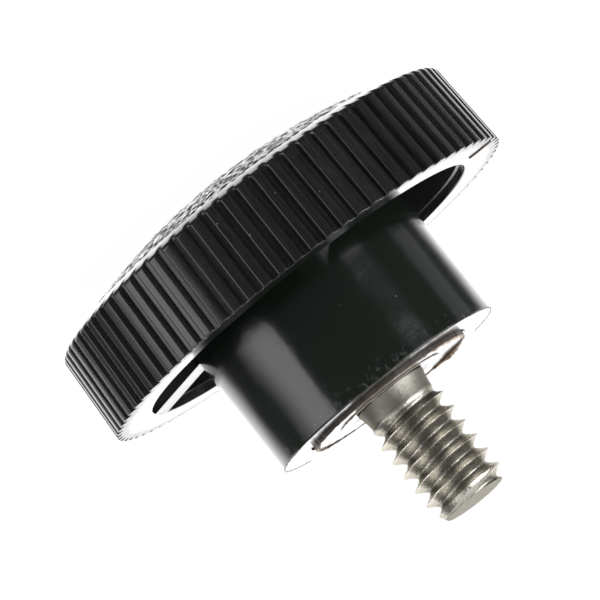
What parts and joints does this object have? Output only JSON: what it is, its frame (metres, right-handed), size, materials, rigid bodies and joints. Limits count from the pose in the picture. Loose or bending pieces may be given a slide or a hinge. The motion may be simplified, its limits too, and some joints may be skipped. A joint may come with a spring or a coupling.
{
  "type": "knurled knob",
  "caption": "Black moulded clamping knob with a tapered straight-knurled rim, a grained domed top, a round hub and a threaded steel stud standing from the hub.",
  "frame": {"origin": "centre of the raised seat on the hub's end, on the axis of the stud", "axes": "+Z along the stud, from the seat towards its tip; the dome faces -Z; one rib of the underside lies along +Y"},
  "size_m": [0.035, 0.035, 0.0296],
  "materials": {
    "head_plastic": "glossy black moulding, with an etched leather grain on the dome",
    "stud_steel": "bright rolled thread with a slight brown tint"
  },
  "bodies": {
    "root": {"knob_head": "head_plastic", "threaded_stud": "stud_steel"}
  },
  "joints": []
}
